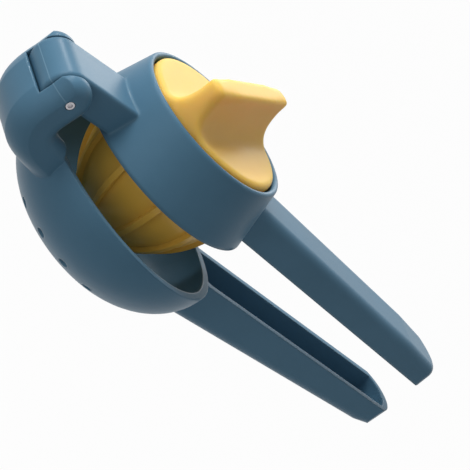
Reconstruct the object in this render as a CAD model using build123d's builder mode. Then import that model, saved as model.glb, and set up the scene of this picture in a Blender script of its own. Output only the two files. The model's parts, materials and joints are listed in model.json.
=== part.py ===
import os
from math import acos, asin, cos, degrees, radians, sin

from build123d import *

os.makedirs("parts", exist_ok=True)

# Millimetres. Origin: centre of the bowl's small flat underside. +X runs from the hinge to the handle
# ends, +Z is square to the bowl's rim, and the hinge pin lies along Y. The lever stands at its rest
# opening, a little over halfway shut.

# Bowl
bowl_r = 32.75
bowl_height = 22.8
bowl_wall = 2.15
bowl_floor = 2.4
bowl_flat_r = 5.0
rim_land = 0.9
rim_clear = 0.4
drain_d = 2.9
drain_ring_radii = [22.1, 14.8, 7.8]
drain_ring_counts = [15, 10, 5]
drain_ring_angles = [0.0, 18.0, 0.0]

# Hinge
pin_reach = 10.65
pin_rise = 11.45
pin_d = 2.6
pin_dimple_d = 1.3
pin_dimple_depth = 0.5
pin_inset = 0.1
drum_r = 6.0
ear_half = 12.0
ear_round = 3.6
ear_flat = 2.6
ear_back = 6.3
ear_side = 12.3
knuckle_r = 6.2
knuckle_half = 7.5
side_gap = 0.25
pocket_gap = 0.35
pin_play = 0.05
pin_hold = 0.01
ledge_drop = 4.1

# Lower handle: a channel open on top
low_root = 12.75
channel_wall = 2.65
low_top_start = -2.3
low_top_end = 2.9
low_half_start = 8.6
low_half_end = 7.9
low_end_x = 116.7
low_tip_x = 121.8
low_depth_start = 13.0
low_depth_end = 8.4
low_wall = 2.0
low_floor = 2.2
low_edge_round = 3.2

# Lever, measured from the pin along and square to the press ring's own plane
open_angle = 6.2
press_gap = 3.4
ring_taper = 4.1
ring_low = -3.85
ring_top = 13.1
ring_wall = 2.3
ring_lip = 1.5
ring_rim_round = 0.75
arm_low = -2.5
arm_round = 0.9
web_top = 7.7
web_thick = 2.4
boss_r = 9.2
boss_low = 1.7
bar_root = 17.9
bar_top_start = 5.4
bar_top_slope = -0.117
bar_low_start = -5.0
bar_low_slope = -0.090
bar_half_start = 8.6
bar_half_end = 7.9
bar_end_u = 158.2
bar_tip_u = 163.0
bar_round = 2.8
bar_wall = 2.3
bar_hollow_gap = 2.2

# Knob and reamer, turning together in the press ring
knob_gap = 0.6
knob_sink = 0.25
disc_thick = 3.3
wing_angle = 32.0
wing_height = 13.3
wing_half = 2.8
wing_waist_half = 2.55
wing_skirt_half = 9.2
wing_round = 0.8
wing_end_round = 1.4
hub_r = 5.5
hub_play = 0.06
hub_low = 1.3
hex_flats = 8.2
hex_length = 8.0
hex_play = 0.1
washer_r = 15.0
washer_play = 0.1
seal_r = 0.75
seal_play = 0.03
seal_w = 3.9
collar_gap = 1.0
collar_step = 2.6
collar_thick = 2.2
reamer_top = -0.9
reamer_tip = -27.9
reamer_tip_r = 3.7
reamer_trough = 1.7
reamer_wall = 2.2
post_wall = 1.75
fin_count = 10
fin_height = 1.4
fin_thick = 1.7
fin_root = 0.7
fin_turn = 60.0
screw_d = 3.0
screw_length = 22.0
screw_play = 0.02
head_d = 5.6
head_height = 2.0
head_room = 0.3
head_sink = 0.8
recess_width = 0.9
recess_length = 3.4
recess_depth = 1.0

rim_z = bowl_height
pin_x = -bowl_r - pin_reach
pin_z = rim_z + pin_rise
rim_in_r = bowl_r - bowl_wall
root_x = bowl_r - low_root
channel_x = bowl_r + channel_wall
ear_in = knuckle_half + side_gap
pocket_r = knuckle_r + pocket_gap
ring_u = -pin_x
ring_r_low = rim_in_r - press_gap
ring_r_top = ring_r_low - ring_taper
bar_start_u = ring_u + bar_root
bar_hollow_start = ring_u + ring_r_low + bar_hollow_gap
knob_bore_r = ring_r_top - ring_lip
knob_r = knob_bore_r - knob_gap
disc_top = ring_top - knob_sink
disc_low = disc_top - disc_thick
bore_r = hub_r + hub_play

# Planes of the lever: its side view, with local x along it and local y up, and its plan from above
lever_x = (cos(radians(open_angle)), 0, sin(radians(open_angle)))
lever_z = (-sin(radians(open_angle)), 0, cos(radians(open_angle)))
lever_side = Plane(origin=(pin_x, 0, pin_z), x_dir=lever_x, z_dir=(0, -1, 0))
lever_plan = Plane(origin=(pin_x, 0, pin_z), x_dir=lever_x, z_dir=lever_z)
ring_base = Plane(origin=lever_plan.from_local_coords((ring_u, 0, 0)), x_dir=lever_x, z_dir=lever_z)
ring_side = Plane(origin=ring_base.origin, x_dir=lever_x, z_dir=(0, -1, 0))
rotor_x = ring_base.x_dir * cos(radians(wing_angle)) + ring_base.y_dir * sin(radians(wing_angle))
rotor_plan = Plane(origin=ring_base.origin, x_dir=rotor_x, z_dir=lever_z)
wing_end = Plane(origin=ring_base.origin, x_dir=rotor_plan.y_dir, z_dir=rotor_x)
rotor_side = Plane(origin=ring_base.origin, x_dir=rotor_x, z_dir=-rotor_plan.y_dir)


def channel_plan(start, end, tip, half_start, half_end):
    """Plan outline of a handle: straight tapering sides and a rounded end."""
    Polyline((end, half_end), (start, half_start), (start, -half_start), (end, -half_end))
    ThreePointArc((end, -half_end), (tip, 0), (end, half_end))


# Lower handle
low_slope = (low_top_end - low_top_start) / (low_end_x - channel_x)


def low_top(x):
    return rim_z + low_top_start + low_slope * (x - channel_x)


def low_bottom(x):
    share = (x - channel_x) / (low_end_x - channel_x)
    return low_top(x) - low_depth_start - (low_depth_end - low_depth_start) * share


with BuildPart() as low_bar:
    with BuildSketch(Plane.XZ) as low_bar_side:
        with BuildLine():
            Polyline(
                (root_x, low_top(root_x)),
                (low_tip_x + 1, low_top(low_tip_x + 1)),
                (low_tip_x + 1, low_bottom(low_end_x) + 2.4),
                (low_end_x - 3, low_bottom(low_end_x - 3)),
                (root_x, low_bottom(root_x)),
                close=True,
            )
        make_face()
    extrude(amount=low_half_start + 1, both=True)
    with BuildSketch(Plane.XY) as low_bar_plan:
        with BuildLine():
            channel_plan(root_x, low_end_x, low_tip_x, low_half_start, low_half_end)
        make_face()
    extrude(amount=2 * rim_z, mode=Mode.INTERSECT)
    low_under = [face for face in low_bar.faces() if face.normal_at().Z < -0.8]
    fillet([edge for face in low_under for edge in face.edges() if edge.center().X > root_x + 1
            and abs(edge.center().Y) > 2], low_edge_round)

with BuildPart() as low_hollow:
    with BuildSketch(Plane.XZ) as low_hollow_side:
        with BuildLine():
            Polyline(
                (channel_x, rim_z + 9),
                (low_tip_x, rim_z + 9),
                (low_tip_x, low_bottom(low_end_x) + low_floor + 2.4),
                (low_end_x - 4, low_bottom(low_end_x - 4) + low_floor),
                (channel_x, low_bottom(channel_x) + low_floor),
                close=True,
            )
        make_face()
    extrude(amount=low_half_start, both=True)
    with BuildSketch(Plane.XY) as low_hollow_plan:
        with BuildLine():
            channel_plan(channel_x, low_end_x, low_tip_x - low_wall, low_half_start - low_wall,
                         low_half_end - low_wall)
        make_face()
    extrude(amount=2 * rim_z, mode=Mode.INTERSECT)
    fillet(low_hollow.edges().filter_by(Axis.Z).sort_by(Axis.X)[:2], 2.5)


def tower_plan(x, ahead):
    """Plan of the hinge tower's rounded back, left wide at the front."""
    EllipticalCenterArc((x, ear_flat), ear_back, ear_side - ear_flat, start_angle=90, arc_size=90)
    Line((x - ear_back, ear_flat), (x - ear_back, -ear_flat))
    EllipticalCenterArc((x, -ear_flat), ear_back, ear_side - ear_flat, start_angle=180, arc_size=90)
    Polyline((x, -ear_side), (x + ahead, -ear_side), (x + ahead, ear_side), (x, ear_side))


# Hinge tower: one flat section with a rounded back, swept from the pin down into the bowl
with BuildPart() as tower:
    with BuildLine(Plane.XZ) as tower_spine:
        Spline(
            (pin_x, pin_z),
            (pin_x - 0.3, rim_z + 6.2),
            (pin_x + 0.5, rim_z + 1.2),
            (pin_x + 4.1, rim_z - 2.5),
            (-bowl_r - 0.25, rim_z - 3.9),
            (-bowl_r + 4.25, rim_z - 4.2),
            tangents=[(0, -1), (1, -0.06)],
        )
    with BuildSketch(Plane(origin=(pin_x, 0, pin_z), x_dir=(1, 0, 0), z_dir=(0, 0, -1))) as strap:
        RectangleRounded(2 * drum_r, 2 * ear_half, ear_round)
        with BuildLine():
            tower_plan(0, 10)
        make_face(mode=Mode.INTERSECT)
    sweep(path=tower_spine.wire())

# Crown: half a rounded drum over the pin, trimmed to the same plan
with BuildPart() as crown:
    with BuildSketch(Plane.XY.offset(pin_z)) as drum_half:
        with Locations((pin_x, 0)):
            RectangleRounded(2 * drum_r, 2 * ear_half, ear_round)
        with Locations((pin_x - drum_r, 0)):
            Rectangle(2 * drum_r, 3 * ear_half, mode=Mode.SUBTRACT)
    revolve(axis=Axis((pin_x, 0, pin_z), (0, -1, 0)), revolution_arc=180)
    with BuildSketch(Plane.XY.offset(pin_z)) as crown_plan:
        with BuildLine():
            tower_plan(pin_x, 10)
        make_face()
    extrude(amount=10, mode=Mode.INTERSECT)

with BuildPart() as lower_body:
    with BuildSketch(Plane.XZ) as bowl_outside:
        with BuildLine():
            Line((0, 0), (bowl_flat_r, 0))
            EllipticalCenterArc(
                (bowl_flat_r, bowl_height - rim_land), bowl_r - bowl_flat_r, bowl_height - rim_land,
                start_angle=270, arc_size=90,
            )
            Line((bowl_r, bowl_height - rim_land), (bowl_r, bowl_height))
            Line((bowl_r, bowl_height), (0, bowl_height))
            Line((0, bowl_height), (0, 0))
        make_face()
    revolve(axis=Axis.Z)
    add(tower.part)
    add(crown.part)
    add(low_bar.part)
    # Bowl cavity, carried above the rim so that nothing stands over it
    with BuildSketch(Plane.XZ) as bowl_inside:
        with BuildLine():
            Line((0, bowl_floor), (bowl_flat_r, bowl_floor))
            EllipticalCenterArc(
                (bowl_flat_r, bowl_height - rim_land), rim_in_r - bowl_flat_r,
                bowl_height - rim_land - bowl_floor, start_angle=270, arc_size=90,
            )
            Polyline(
                (rim_in_r, bowl_height - rim_land),
                (rim_in_r, bowl_height),
                (bowl_r + rim_clear, bowl_height),
                (bowl_r + rim_clear, bowl_height + 20),
                (0, bowl_height + 20),
                (0, bowl_floor),
            )
        make_face()
    revolve(axis=Axis.Z, mode=Mode.SUBTRACT)
    add(low_hollow.part, mode=Mode.SUBTRACT)
    # Pocket for the lever's knuckle, open at the back above a ledge
    with BuildSketch(Plane.XZ) as pocket:
        with Locations((pin_x, pin_z)):
            Circle(pocket_r)
        with BuildLine():
            Polyline(
                (pin_x, pin_z - pocket_r),
                (pin_x, pin_z - ledge_drop),
                (pin_x - 3 * drum_r, pin_z - ledge_drop),
                (pin_x - 3 * drum_r, pin_z + 3 * drum_r),
                (-bowl_r + 3, pin_z + 3 * drum_r),
                (-bowl_r + 3, rim_z + 0.01),
                (pin_x + 1.9, rim_z + 0.01),
                close=True,
            )
        make_face()
    extrude(amount=ear_in, both=True, mode=Mode.SUBTRACT)
    with BuildSketch(Plane.XZ) as ear_bore:
        with Locations((pin_x, pin_z)):
            Circle(pin_d / 2 + pin_hold)
    extrude(amount=ear_half + 1, both=True, mode=Mode.SUBTRACT)
    # Drain holes, straight down so that they release from the mould
    with BuildSketch(Plane.XY.offset(-1)) as drains:
        for ring_radius, count, first in zip(drain_ring_radii, drain_ring_counts, drain_ring_angles):
            with PolarLocations(ring_radius, count, start_angle=first):
                Circle(drain_d / 2)
    extrude(amount=bowl_height - 2, mode=Mode.SUBTRACT)
lower_body.part.label = "lower_body"
export_step(lower_body.part, "parts/lower_body.step")

# Hinge pin, pressed into both ears, with a dimple in each end
pin_length = 2 * (ear_half - pin_inset)
with BuildPart() as hinge_pin:
    with BuildSketch(Plane.XZ) as pin_section:
        with Locations((pin_x, pin_z)):
            Circle(pin_d / 2)
    extrude(amount=pin_length / 2, both=True)
    chamfer(hinge_pin.edges().filter_by(GeomType.CIRCLE), 0.2)
    for side in (1, -1):
        pin_face = Plane(origin=(pin_x, side * pin_length / 2, pin_z), z_dir=(0, -side, 0))
        with BuildSketch(pin_face) as pin_dimple:
            Circle(pin_dimple_d / 2)
        extrude(amount=pin_dimple_depth, mode=Mode.SUBTRACT)
hinge_pin.part.label = "hinge_pin"
export_step(hinge_pin.part, "parts/hinge_pin.step")


# Lever
def bar_top(u):
    return bar_top_start + bar_top_slope * (u - bar_start_u)


def bar_low(u):
    return bar_low_start + bar_low_slope * (u - bar_start_u)


with BuildPart() as bar:
    with BuildSketch(lever_side) as bar_side:
        with BuildLine():
            Polyline(
                (bar_start_u, bar_low(bar_start_u)),
                (bar_tip_u + 1, bar_low(bar_tip_u + 1)),
                (bar_tip_u + 1, bar_top(bar_tip_u + 1) - 1.0),
                (bar_end_u - 12, bar_top(bar_end_u - 12)),
                (bar_start_u, bar_top(bar_start_u)),
                close=True,
            )
        make_face()
    extrude(amount=bar_half_start + 1, both=True)
    with BuildSketch(lever_plan.offset(-40)) as bar_plan:
        with BuildLine():
            channel_plan(bar_start_u, bar_end_u, bar_tip_u, bar_half_start, bar_half_end)
        make_face()
    extrude(amount=80, mode=Mode.INTERSECT)
    bar_upper = [face for face in bar.faces() if face.normal_at().Z > 0.8]
    bar_edges = [edge for face in bar_upper for edge in face.edges()]
    fillet([edge for edge in bar_edges if abs(edge.center().Y) > 2
            or lever_plan.to_local_coords(edge.center()).X > bar_end_u], bar_round)

with BuildPart() as bar_hollow:
    with BuildSketch(lever_side) as bar_hollow_side:
        with BuildLine():
            Polyline(
                (bar_hollow_start, bar_low(bar_hollow_start) - 6),
                (bar_tip_u, bar_low(bar_tip_u) - 6),
                (bar_tip_u, bar_top(bar_tip_u) - bar_wall - 1.0),
                (bar_end_u - 12, bar_top(bar_end_u - 12) - bar_wall),
                (bar_hollow_start, bar_top(bar_hollow_start) - bar_wall),
                close=True,
            )
        make_face()
    extrude(amount=bar_half_start, both=True)
    with BuildSketch(lever_plan.offset(-40)) as bar_hollow_plan:
        with BuildLine():
            channel_plan(bar_hollow_start, bar_end_u, bar_tip_u - bar_wall, bar_half_start - bar_wall,
                         bar_half_end - bar_wall)
        make_face()
    extrude(amount=80, mode=Mode.INTERSECT)

arm_end_u = ring_u - ring_r_top + 1.5
with BuildPart() as arm:
    with BuildSketch(lever_side) as arm_side:
        Circle(knuckle_r)
        with BuildLine():
            Polyline((0, knuckle_r), (arm_end_u, knuckle_r), (arm_end_u, arm_low), (0, arm_low), close=True)
        make_face()
    extrude(amount=knuckle_half, both=True)
    arm_flats = [face for face in arm.faces()
                 if lever_plan.to_local_coords(face.center()).Z > knuckle_r - 0.01]
    fillet([edge for face in arm_flats for edge in face.edges()
            if abs(lever_plan.to_local_coords(edge.center()).Y) > 2], arm_round)


def ring_r(w):
    """Outside radius of the press ring at a height above the pin."""
    return ring_r_low + (ring_r_top - ring_r_low) * (w - ring_low) / (ring_top - ring_low)


with BuildPart() as upper_lever:
    with BuildSketch(ring_side) as ring_outside:
        with BuildLine():
            Polyline(
                (0, ring_low),
                (ring_r_low, ring_low),
                (ring_r_top, ring_top),
                (0, ring_top),
                close=True,
            )
        make_face()
    revolve(axis=Axis(ring_base.origin, lever_z))
    add(arm.part)
    add(bar.part)
    with BuildSketch(ring_side) as ring_inside:
        with BuildLine():
            Polyline(
                (0, web_top),
                (knob_bore_r, web_top),
                (knob_bore_r, ring_top + 1),
                (0, ring_top + 1),
                close=True,
            )
        make_face()
        with BuildLine():
            Polyline(
                (boss_r, ring_low - 8),
                (boss_r, web_top - web_thick),
                (ring_r(web_top - web_thick) - ring_wall, web_top - web_thick),
                (ring_r(ring_low - 8) - ring_wall, ring_low - 8),
                close=True,
            )
        make_face()
        with BuildLine():
            Polyline(
                (0, ring_low - 1),
                (boss_r, ring_low - 1),
                (boss_r, boss_low),
                (0, boss_low),
                close=True,
            )
        make_face()
        with BuildLine():
            Polyline(
                (0, boss_low - 1),
                (bore_r, boss_low - 1),
                (bore_r, web_top + 1),
                (0, web_top + 1),
                close=True,
            )
        make_face()
    revolve(axis=Axis(ring_base.origin, lever_z), mode=Mode.SUBTRACT)
    add(bar_hollow.part, mode=Mode.SUBTRACT)
    with BuildSketch(lever_side) as knuckle_bore:
        Circle(pin_d / 2 + pin_play)
    extrude(amount=knuckle_half + 1, both=True, mode=Mode.SUBTRACT)
    rim_edges = [edge for edge in upper_lever.edges().filter_by(GeomType.CIRCLE)
                 if abs(ring_base.to_local_coords(edge.center()).Z - ring_top) < 0.01]
    fillet(rim_edges, ring_rim_round)
upper_lever.part.label = "upper_lever"
export_step(upper_lever.part, "parts/upper_lever.step")

wing_top = disc_top + wing_height


def rotor_z(shape):
    """Height of an edge or face above the pin, square to the press ring."""
    return rotor_plan.to_local_coords(shape.center()).Z


# Knob: a disc and a pinch wing with scooped flanks, cut to the disc's round
with BuildPart() as knob:
    with BuildSketch(wing_end.offset(-knob_r - 1)) as wing_section:
        with BuildLine():
            Line((0, disc_low), (knob_r + 1, disc_low))
            Line((knob_r + 1, disc_low), (knob_r + 1, disc_top))
            Line((knob_r + 1, disc_top), (wing_skirt_half, disc_top))
            Spline(
                (wing_skirt_half, disc_top),
                (wing_waist_half + 1.0, disc_top + 0.36 * wing_height),
                (wing_waist_half, disc_top + 0.66 * wing_height),
                (wing_half, wing_top),
                tangents=[(-1, 0), (0.25, 1)],
            )
            Line((wing_half, wing_top), (0, wing_top))
            Line((0, wing_top), (0, disc_low))
        make_face()
        mirror(about=Plane.YZ)
    extrude(amount=2 * (knob_r + 1))
    with BuildSketch(rotor_plan) as knob_round:
        Circle(knob_r)
    extrude(amount=60, mode=Mode.INTERSECT)
    # The disc's upper edge runs on into the wing's ends as one rounding; then the wing's top
    knob_ends = [edge for edge in knob.edges()
                 if edge.geom_type != GeomType.LINE and disc_top - 0.01 < rotor_z(edge) < wing_top - 0.01]
    fillet(knob_ends, wing_end_round)
    wing_crest = [face for face in knob.faces() if abs(rotor_z(face) - wing_top) < 0.01]
    fillet([edge for face in wing_crest for edge in face.edges()], wing_round)
    # Hub through the press ring's boss, and the hexagon that drives the reamer
    with BuildSketch(rotor_plan.offset(hub_low)) as hub:
        Circle(hub_r)
    extrude(amount=disc_low - hub_low + 0.5)
    with BuildSketch(rotor_plan.offset(hub_low - hex_length)) as drive:
        RegularPolygon(hex_flats / 2, 6, major_radius=False)
    extrude(amount=hex_length + 0.5)
    seal_groove_r = hub_r + hub_play - seal_play - 2 * seal_r - 0.02
    with BuildSketch(rotor_side) as seal_groove:
        with BuildLine():
            Polyline(
                (seal_groove_r, seal_w - seal_r - 0.1),
                (hub_r + 1, seal_w - seal_r - 0.1),
                (hub_r + 1, seal_w + seal_r + 0.1),
                (seal_groove_r, seal_w + seal_r + 0.1),
                close=True,
            )
        make_face()
    revolve(axis=Axis(ring_base.origin, lever_z), mode=Mode.SUBTRACT)
    with BuildSketch(rotor_plan.offset(hub_low - hex_length - 1)) as pilot:
        Circle(screw_d / 2 + screw_play)
    extrude(amount=14.0, mode=Mode.SUBTRACT)
knob.part.label = "knob"
export_step(knob.part, "parts/knob.step")

# Glide washer between the press ring's web and the knob
with BuildPart() as glide_washer:
    with BuildSketch(ring_base.offset(web_top)) as washer_section:
        Circle(washer_r)
        Circle(hub_r + 1.2, mode=Mode.SUBTRACT)
    extrude(amount=disc_low - web_top - washer_play)
glide_washer.part.label = "glide_washer"
export_step(glide_washer.part, "parts/glide_washer.step")

# Shaft seal in the hub's groove
with BuildPart() as shaft_seal:
    with BuildSketch(rotor_side) as seal_section:
        with Locations((bore_r - seal_play - seal_r, seal_w)):
            Circle(seal_r)
    revolve(axis=Axis(ring_base.origin, lever_z))
shaft_seal.part.label = "shaft_seal"
export_step(shaft_seal.part, "parts/shaft_seal.step")

# Reamer: a hollow dome with fins, a flat collar inside the press ring, and a post for the drive
reamer_plate_r = ring_r(reamer_top) - ring_wall - collar_gap
reamer_r = reamer_plate_r - collar_step
reamer_post_r = (hex_flats / 2 + hex_play) / cos(radians(30)) + post_wall
dome_top = reamer_top - collar_thick
dome_depth = dome_top - reamer_tip
dome_side = reamer_r - reamer_tip_r
dome_arc_r = (dome_depth**2 + dome_side**2) / (2 * dome_side)
dome_turn = degrees(asin(dome_depth / dome_arc_r))


def dome_point(offset, turn):
    """Point of the dome's side arc, or of one parallel to it, turned down from the collar."""
    reach = dome_arc_r + offset
    return (reamer_r - dome_arc_r + reach * cos(radians(turn)), dome_top - reach * sin(radians(turn)))


def dome_side_arc(offset, turn):
    return ThreePointArc(dome_point(offset, 0), dome_point(offset, turn / 2), dome_point(offset, turn))


with BuildPart() as reamer:
    with BuildSketch(rotor_side) as dome:
        with BuildLine():
            Polyline(
                (0, reamer_tip),
                (0, reamer_top),
                (reamer_plate_r, reamer_top),
                (reamer_plate_r, dome_top),
                dome_point(0, 0),
            )
            dome_side_arc(0, dome_turn)
            Line(dome_point(0, dome_turn), (0, reamer_tip))
        make_face()
    revolve(axis=Axis(ring_base.origin, lever_z))
    trough_r = reamer_post_r + reamer_trough
    hollow_turn = degrees(acos((trough_r - reamer_r + dome_arc_r) / (dome_arc_r - reamer_wall)))
    with BuildSketch(rotor_side) as dome_hollow:
        with BuildLine():
            dome_side_arc(-reamer_wall, hollow_turn)
            Polyline(
                dome_point(-reamer_wall, hollow_turn),
                (reamer_post_r, dome_point(-reamer_wall, hollow_turn)[1]),
                (reamer_post_r, reamer_top + 1),
                (reamer_r - reamer_wall, reamer_top + 1),
                dome_point(-reamer_wall, 0),
            )
        make_face()
    revolve(axis=Axis(ring_base.origin, lever_z), mode=Mode.SUBTRACT)
    with BuildSketch(rotor_side) as fin:
        with BuildLine():
            dome_side_arc(fin_height, fin_turn)
            dome_side_arc(-fin_root, fin_turn)
            Line(dome_point(fin_height, fin_turn), dome_point(-fin_root, fin_turn))
            Polyline(
                dome_point(fin_height, 0),
                (reamer_r + fin_height, dome_top + fin_root),
                (reamer_r - fin_root, dome_top + fin_root),
                dome_point(-fin_root, 0),
            )
        make_face()
    fin_solid = extrude(amount=fin_thick / 2, both=True, mode=Mode.PRIVATE)
    for index in range(fin_count):
        add(fin_solid.rotate(Axis(ring_base.origin, lever_z), 360 * index / fin_count))
    with BuildSketch(rotor_plan.offset(hub_low - hex_length - 0.2)) as socket:
        RegularPolygon(hex_flats / 2 + hex_play, 6, major_radius=False)
    extrude(amount=20, mode=Mode.SUBTRACT)
    with BuildSketch(rotor_plan.offset(reamer_tip - 1)) as screw_way:
        Circle(screw_d / 2 + head_room)
    extrude(amount=30, mode=Mode.SUBTRACT)
    with BuildSketch(rotor_plan.offset(reamer_tip - 1)) as head_way:
        Circle(head_d / 2 + head_room)
    extrude(amount=1 + head_sink + head_height, mode=Mode.SUBTRACT)
reamer.part.label = "reamer"
export_step(reamer.part, "parts/reamer.step")

# Screw up through the reamer's tip into the knob's hub
head_low = reamer_tip + head_sink
with BuildPart() as rotor_screw:
    with BuildSketch(rotor_plan.offset(head_low)) as screw_head:
        Circle(head_d / 2)
    extrude(amount=head_height)
    fillet(rotor_screw.edges().filter_by(GeomType.CIRCLE).sort_by(Axis.Z)[0], 0.6)
    with BuildSketch(rotor_plan.offset(head_low + head_height - 0.2)) as shank:
        Circle(screw_d / 2)
    extrude(amount=screw_length + 0.2)
    chamfer(rotor_screw.edges().filter_by(GeomType.CIRCLE).sort_by(Axis.Z)[-1], 0.5)
    with BuildSketch(rotor_plan.offset(head_low - 0.1)) as recess:
        Rectangle(recess_length, recess_width)
        Rectangle(recess_width, recess_length)
    extrude(amount=recess_depth + 0.1, mode=Mode.SUBTRACT)
rotor_screw.part.label = "rotor_screw"
export_step(rotor_screw.part, "parts/rotor_screw.step")
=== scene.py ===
import json
from math import cos, radians, sin

import bpy
from mathutils import Matrix, Vector


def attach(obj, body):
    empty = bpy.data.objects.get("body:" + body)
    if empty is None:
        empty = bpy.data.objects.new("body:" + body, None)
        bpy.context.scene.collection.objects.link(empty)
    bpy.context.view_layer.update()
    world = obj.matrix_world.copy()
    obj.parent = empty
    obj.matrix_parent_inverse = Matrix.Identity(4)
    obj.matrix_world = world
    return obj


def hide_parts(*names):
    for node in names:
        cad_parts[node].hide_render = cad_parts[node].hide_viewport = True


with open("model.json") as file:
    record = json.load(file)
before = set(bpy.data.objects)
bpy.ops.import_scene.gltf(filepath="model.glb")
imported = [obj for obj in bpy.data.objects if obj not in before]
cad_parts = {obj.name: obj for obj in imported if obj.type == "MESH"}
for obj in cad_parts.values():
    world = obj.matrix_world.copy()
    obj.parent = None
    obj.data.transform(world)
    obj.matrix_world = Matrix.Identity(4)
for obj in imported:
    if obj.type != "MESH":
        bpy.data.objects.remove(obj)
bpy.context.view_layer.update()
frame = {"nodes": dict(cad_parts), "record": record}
joints = {joint["name"]: joint for joint in frame["record"]["behaviour"]["joints"]}
PIN = Vector(joints["lever_hinge"]["pos_m"])
PIN_AXIS = Vector((0, 1, 0))
SPIN = Vector(joints["knob_spin"]["pos_m"])
SPIN_AXIS = Vector(joints["knob_spin"]["axis"])
WHITE = (1, 1, 1, 1)


class Value:
    """A shader value. Arithmetic on it adds Math nodes, and node() adds any other kind."""

    def __init__(self, socket):
        self.socket = socket

    def node(self, kind, settings, values, out):
        made = self.socket.id_data.nodes.new(kind)
        for name, setting in settings.items():
            setattr(made, name, setting)
        for name, value in values.items():
            plug(value, next(socket for socket in made.inputs if socket.identifier == name))
        return Value(next(socket for socket in made.outputs if socket.identifier == out))

    def math(self, operation, first, second=0.0):
        values = {"Value": first, "Value_001": second}
        return self.node("ShaderNodeMath", {"operation": operation}, values, "Value")

    def vector_math(self, operation, second, out):
        values = {"Vector": self, "Vector_001": tuple(second) if isinstance(second, Vector) else second}
        return self.node("ShaderNodeVectorMath", {"operation": operation}, values, out)

    def __add__(self, other):
        return self.math("ADD", self, other)

    def __sub__(self, other):
        return self.math("SUBTRACT", self, other)

    def __rsub__(self, other):
        return self.math("SUBTRACT", other, self)

    def __mul__(self, other):
        return self.math("MULTIPLY", self, other)

    def __abs__(self):
        return self.math("ABSOLUTE", self)

    __radd__ = __add__
    __rmul__ = __mul__


def plug(value, socket):
    """Give a socket a number, a colour or another node's output."""
    if isinstance(value, Value):
        socket.id_data.links.new(value.socket, socket)
    else:
        socket.default_value = value


def ramp(value, low, high):
    """0 below low, 1 above high, and smooth between."""
    values = {"Value": value, "From Min": low, "From Max": high}
    return value.node("ShaderNodeMapRange", {"interpolation_type": "SMOOTHSTEP"}, values, "Result")


def line(value, centre, half_width):
    """1 on a thin line where the value passes its centre."""
    return 1 - ramp(abs(value - centre), 0.4 * half_width, half_width)


def noise(place, scale, detail):
    values = {"Vector": place, "Scale": scale, "Detail": detail}
    return place.node("ShaderNodeTexNoise", {}, values, "Fac")


def tint(factor, low, high):
    values = {"Factor_Float": factor, "A_Color": low, "B_Color": high}
    return factor.node("ShaderNodeMix", {"data_type": "RGBA"}, values, "Result_Color")


def coordinate(place, letter):
    """The X, Y or Z of a place."""
    return place.node("ShaderNodeSeparateXYZ", {}, {"Vector": place}, letter)


def rounded_normal(place, radius):
    """The normal of a piece whose edges are broken by this radius."""
    return place.node("ShaderNodeBevel", {"samples": 8}, {"Radius": radius}, "Normal")


def edge_mask(rounded):
    """1 on the broken edges, where the rounded normal leaves the face's own."""
    facing = rounded.node("ShaderNodeNewGeometry", {}, {}, "Normal")
    return ramp(1 - rounded.vector_math("DOT_PRODUCT", facing, "Value"), 0.02, 0.25)


def bump(height, strength, distance, normal):
    values = {"Strength": strength, "Distance": distance, "Height": height, "Normal": normal}
    return height.node("ShaderNodeBump", {}, values, "Normal")


def new_material(name):
    """A material and its shader."""
    material = bpy.data.materials.new(name)
    material.use_nodes = True
    return material, material.node_tree.nodes["Principled BSDF"]


def object_place(material):
    """The Object coordinates that a pattern is built on."""
    return Value(material.node_tree.nodes.new("ShaderNodeTexCoord").outputs["Object"])


# Moulded plastic and rubber, by noise scale per metre and by depth in metres
FLOW_SCALE = 24.0
MOTTLE_SCALE = 260.0
GRAIN_SCALE = 1600.0
GRAIN_DEPTH = 0.0002
GRAIN_STRENGTH = 0.12
SEAM_HEIGHT = 3.0
# How far the edges are tinted paler, partly as wear and partly as a painted highlight
EDGE_WEAR_AND_HIGHLIGHT = 0.35
EDGE_POLISH = 0.06
GRAIN_ROUGHNESS = 0.08
FLOW_ROUGHNESS = 0.05
GLOW_RADIUS = (1.0, 0.9, 0.3)
GLOW_DEPTH = 0.006


def moulded(name, colours, roughness, edge_radius, seam=None, glow=0.0, gloss=0.5):
    """Satin plastic: slow flow marks, a fine grain, paler edges that are partly wear and partly painted
    highlight and, if it has one, a mould seam drawn as a ridge with a painted highlight.
    """
    deep, pale, wear_and_highlight = colours
    material, shader = new_material(name)
    place = object_place(material)
    rounded = rounded_normal(place, edge_radius)
    edges = edge_mask(rounded)
    flow = ramp(noise(place, FLOW_SCALE, 3.0), 0.3, 0.7)
    grain = noise(place, GRAIN_SCALE, 2.0)
    mottle = noise(place, MOTTLE_SCALE, 3.0)
    colour = tint(flow * 0.7 + mottle * 0.3, deep, pale)
    height = grain * 0.5 + mottle * 0.5
    if seam:
        parting_and_highlight = seam(place)
        # The seam's paler tint is a painted highlight along the parting line; its ridge is in the bump
        colour = tint(parting_and_highlight * 0.5, colour, wear_and_highlight)
        height = height + parting_and_highlight * SEAM_HEIGHT
    smoothest = roughness - 0.5 * (GRAIN_ROUGHNESS + FLOW_ROUGHNESS)
    uneven = grain * GRAIN_ROUGHNESS + flow * FLOW_ROUGHNESS + smoothest
    # Paler edges: partly wear, partly a painted highlight along them
    plug(tint(edges * EDGE_WEAR_AND_HIGHLIGHT, colour, wear_and_highlight), shader.inputs["Base Color"])
    plug(uneven - edges * EDGE_POLISH, shader.inputs["Roughness"])
    plug(bump(height, GRAIN_STRENGTH, GRAIN_DEPTH, rounded), shader.inputs["Normal"])
    shader.inputs["Specular IOR Level"].default_value = gloss
    shader.inputs["Subsurface Weight"].default_value = glow
    shader.inputs["Subsurface Radius"].default_value = GLOW_RADIUS
    shader.inputs["Subsurface Scale"].default_value = GLOW_DEPTH
    return material


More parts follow.
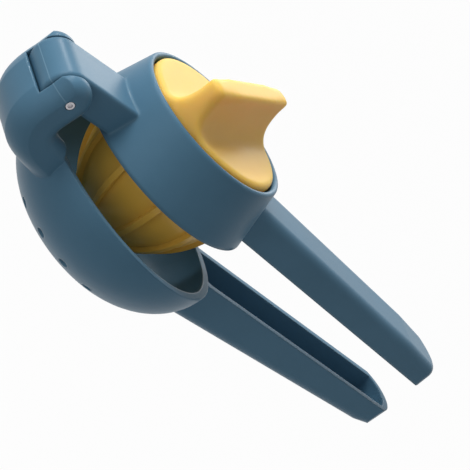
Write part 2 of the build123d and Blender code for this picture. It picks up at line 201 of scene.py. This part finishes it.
SEAM_HALF_WIDTH = 0.00022
SEAM_START = PIN.x - 0.0012
SEAM_FULL = PIN.x - 0.0016


def hinge_seam(place):
    """The mould's parting line: level with the pin, round the back of the hinge."""
    behind = 1 - ramp(coordinate(place, "X"), SEAM_FULL, SEAM_START)
    return line(coordinate(place, "Z"), PIN.z, SEAM_HALF_WIDTH) * behind


STEEL_GREY = (0.44, 0.43, 0.45, 1)
TURNING_PITCH = 42000.0
TURNING_DEPTH = 0.00003
STEEL_EDGE = 0.00015


def turned_steel(name, roughness, centre, direction):
    """Steel with the fine rings of turning about an axis."""
    material, shader = new_material(name)
    shader.inputs["Base Color"].default_value = STEEL_GREY
    shader.inputs["Metallic"].default_value = 1.0
    place = object_place(material)
    away = place.vector_math("SUBTRACT", centre, "Vector")
    outward = away.vector_math("CROSS_PRODUCT", direction, "Vector")
    radius = outward.vector_math("LENGTH", (0, 0, 0), "Value")
    rings = radius.math("SINE", radius * TURNING_PITCH)
    fine = noise(place, 900.0, 3.0)
    plug(fine * 0.16 + rings * 0.03 + roughness, shader.inputs["Roughness"])
    rounded = rounded_normal(place, STEEL_EDGE)
    plug(bump(rings, 0.2, TURNING_DEPTH, rounded), shader.inputs["Normal"])
    return material


# Each plastic's deep and pale colour, and a paler edge colour that is partly wear and partly painted
# highlight
BLUE = (0.064, 0.149, 0.224, 1), (0.080, 0.178, 0.265, 1), (0.16, 0.28, 0.37, 1)
KNOB_YELLOW = (0.75, 0.455, 0.108, 1), (0.80, 0.515, 0.138, 1), (0.84, 0.56, 0.17, 1)
REAMER_YELLOW = (0.74, 0.43, 0.060, 1), (0.80, 0.49, 0.080, 1), (0.84, 0.57, 0.16, 1)
GLIDE_WHITE = (0.70, 0.70, 0.68, 1), (0.77, 0.77, 0.75, 1), (0.80, 0.80, 0.78, 1)
SEAL_BLACK = (0.012, 0.012, 0.012, 1), (0.018, 0.018, 0.018, 1), (0.030, 0.030, 0.030, 1)
BLUE_ROUGHNESS = 0.36
BLUE_GLOSS = 0.10
BODY_EDGE = 0.0007
LEVER_EDGE = 0.0016
body_blue = moulded("body_blue_plastic", BLUE, BLUE_ROUGHNESS, BODY_EDGE, hinge_seam, gloss=BLUE_GLOSS)
lever_blue = moulded("lever_blue_plastic", BLUE, BLUE_ROUGHNESS, LEVER_EDGE, hinge_seam, gloss=BLUE_GLOSS)
knob_yellow = moulded("knob_yellow_plastic", KNOB_YELLOW, 0.45, 0.0005, glow=0.7, gloss=0.08)
FINISH = {
    "lower_body": body_blue,
    "upper_lever": lever_blue,
    "hinge_pin": turned_steel("pin_steel", 0.22, PIN, PIN_AXIS),
    "knob": knob_yellow,
    "reamer": moulded("reamer_yellow_plastic", REAMER_YELLOW, 0.38, 0.0004),
    "glide_washer": moulded("glide_white_plastic", GLIDE_WHITE, 0.50, 0.0003),
    "shaft_seal": moulded("seal_black_rubber", SEAL_BLACK, 0.70, 0.0002),
    "rotor_screw": turned_steel("screw_steel", 0.30, SPIN, SPIN_AXIS),
}
for name, material in FINISH.items():
    for slot in frame["nodes"][name].material_slots:
        slot.material = material

# The knob as it is moulded: its wing is softer and wider at the crest, and rounder at the ends,
# than the plain solid, and its disc stands just proud of the ring's lip
WING_ANGLE = radians(32.0)
WING_HEIGHT = 0.0133
DISC_EDGE = 0.0020
DISC_LIFT = 0.0010
CREST_SPREAD = 0.18
MESH_STEP = 0.00032
DOUBLES = 1e-6
LEVER_X = PIN_AXIS.cross(SPIN_AXIS)
WING_X = LEVER_X * cos(WING_ANGLE) + SPIN_AXIS.cross(LEVER_X) * sin(WING_ANGLE)
WING_Y = SPIN_AXIS.cross(WING_X)
CREST = max((vertex.co - SPIN).dot(SPIN_AXIS) for vertex in frame["nodes"]["knob"].data.vertices)
DISC_TOP = CREST - WING_HEIGHT


def rise(value, low, high):
    """0 below low, 1 above high, and even between."""
    return min(1.0, max(0.0, (value - low) / (high - low)))


def over_disc(place, low, high):
    """How far a place, from the spin centre, has come up from low to high above the disc."""
    return rise(place.dot(SPIN_AXIS) - DISC_TOP, low, high)


def whole_share(place):
    """All of the knob alike."""
    return 1.0


def crest_share(place):
    """The wing's upper part."""
    return over_disc(place, 0.003, 0.007)


def wing_end_share(place):
    """The two ends of the wing, above the disc."""
    return over_disc(place, 0.0015, 0.006) * rise(abs(place.dot(WING_X)), 0.011, 0.017)


def soften(piece, name, share, repeats):
    """Smooth the active piece by as much as the share says at each point."""
    group = piece.vertex_groups.new(name=name)
    for vertex in piece.data.vertices:
        group.add([vertex.index], share(vertex.co - SPIN), "REPLACE")
    smooth = piece.modifiers.new(name, "SMOOTH")
    smooth.factor = 0.5
    smooth.iterations = repeats
    smooth.vertex_group = name
    bpy.ops.object.modifier_apply(modifier=name)
    piece.vertex_groups.clear()


bpy.ops.object.select_all(action="DESELECT")
soft_knob = bpy.data.objects.new("soft_knob", frame["nodes"]["knob"].data.copy())
bpy.context.collection.objects.link(soft_knob)
bpy.context.view_layer.objects.active = soft_knob
soft_knob.select_set(True)
bpy.ops.object.mode_set(mode="EDIT")
bpy.ops.mesh.select_all(action="SELECT")
bpy.ops.mesh.remove_doubles(threshold=DOUBLES)
bpy.ops.object.mode_set(mode="OBJECT")
even = soft_knob.modifiers.new("even", "REMESH")
even.mode = "VOXEL"
even.voxel_size = MESH_STEP
bpy.ops.object.modifier_apply(modifier="even")
for vertex in soft_knob.data.vertices:
    place = vertex.co - SPIN
    lift = over_disc(place, -DISC_EDGE, -0.4 * DISC_EDGE) - over_disc(place, 0.0, WING_HEIGHT)
    vertex.co += SPIN_AXIS * DISC_LIFT * lift
    vertex.co += WING_Y * place.dot(WING_Y) * CREST_SPREAD * over_disc(place, 0.004, 0.010)
soften(soft_knob, "mesh_steps", whole_share, 6)
soften(soft_knob, "crest", crest_share, 10)
soften(soft_knob, "wing_ends", wing_end_share, 120)
bpy.ops.object.shade_smooth()
soft_knob.data.materials.clear()
soft_knob.data.materials.append(knob_yellow)
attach(soft_knob, "rotor")
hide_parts("knob")

# Camera at the photograph's angle, rolled with the tool's tilt
IMAGE_WIDTH = 470
FOCAL_PIXELS = 2369.9
SENSOR_WIDTH = 36
CAMERA_PLACE = (-0.38409, -0.43293, 0.18370)
RIGHT = Vector((0.5550, -0.2611, 0.7898))
UP = Vector((-0.4878, 0.6669, 0.5633))
BACK = RIGHT.cross(UP)
camera = bpy.data.objects.new("camera", bpy.data.cameras.new("camera"))
bpy.context.collection.objects.link(camera)
turn = Matrix((RIGHT, UP, BACK)).transposed().normalized()
camera.matrix_world = Matrix.Translation(CAMERA_PLACE) @ turn.to_4x4()
camera.data.sensor_width = SENSOR_WIDTH
camera.data.lens = FOCAL_PIXELS / IMAGE_WIDTH * SENSOR_WIDTH
bpy.context.scene.camera = camera


def camera_white(tree, shader, share):
    """Let the camera, and mirrors, see this much plain white; the rest keeps its shadows."""
    rays = tree.nodes.new("ShaderNodeLightPath").outputs
    seen = Value(rays["Is Camera Ray"])
    for kind in ("Is Glossy Ray", "Is Transmission Ray"):
        seen = seen.math("MAXIMUM", seen, Value(rays[kind]))
    white = seen.node("ShaderNodeEmission", {}, {"Color": WHITE, "Strength": 1.0}, "Emission")
    values = {"Fac": seen * share, "Shader": Value(shader), "Shader_001": white}
    return seen.node("ShaderNodeMixShader", {}, values, "Shader")


# Pale floor, well below the raised tool
FLOOR_SIZE = 6
FLOOR_LEVEL = -0.25
FLOOR_GREY = (0.45, 0.45, 0.45, 1)
FLOOR_WHITE_SHARE = 0.97
bpy.ops.mesh.primitive_plane_add(size=FLOOR_SIZE, location=(0, 0, FLOOR_LEVEL))
floor = bpy.context.object
floor.name = "floor"
floor_paint, floor_shader = new_material("floor_paint")
floor_shader.inputs["Base Color"].default_value = FLOOR_GREY
floor_look = camera_white(floor_paint.node_tree, floor_shader.outputs["BSDF"], FLOOR_WHITE_SHARE)
plug(floor_look, floor_paint.node_tree.nodes["Material Output"].inputs["Surface"])
floor.data.materials.append(floor_paint)

TOOL_MIDDLE = Vector((0.03, 0, 0.03))


def lamp(name, direction, distance, size, power):
    """A soft round lamp that shines on the tool from a direction."""
    light = bpy.data.lights.new(name, "AREA")
    light.shape = "DISK"
    light.size = size
    light.energy = power
    stand = bpy.data.objects.new(name, light)
    bpy.context.collection.objects.link(stand)
    stand.location = TOOL_MIDDLE + direction.normalized() * distance
    stand.rotation_euler = direction.to_track_quat("Z", "Y").to_euler()


lamp("key", UP + 0.40 * BACK + 0.05 * RIGHT, distance=0.8, size=0.5, power=5.6)
lamp("fill", BACK - 0.7 * RIGHT + 0.2 * UP, distance=0.9, size=0.8, power=1.4)
lamp("glint", 0.18 * RIGHT + 0.96 * UP - 0.22 * BACK, distance=0.8, size=0.06, power=1.6)
lamp("sheen", 0.38 * RIGHT + 0.59 * UP - 0.71 * BACK, distance=0.36, size=0.18, power=0.26)
SKY_STRENGTH = 0.38
SKY_WHITE_SHARE = 1.0
world = bpy.data.worlds.new("studio")
world.use_nodes = True
sky = world.node_tree.nodes["Background"]
sky.inputs["Color"].default_value = WHITE
sky.inputs["Strength"].default_value = SKY_STRENGTH
sky_look = camera_white(world.node_tree, sky.outputs["Background"], SKY_WHITE_SHARE)
plug(sky_look, world.node_tree.nodes["World Output"].inputs["Surface"])
bpy.context.scene.world = world
bpy.context.scene.view_settings.view_transform = "Standard"
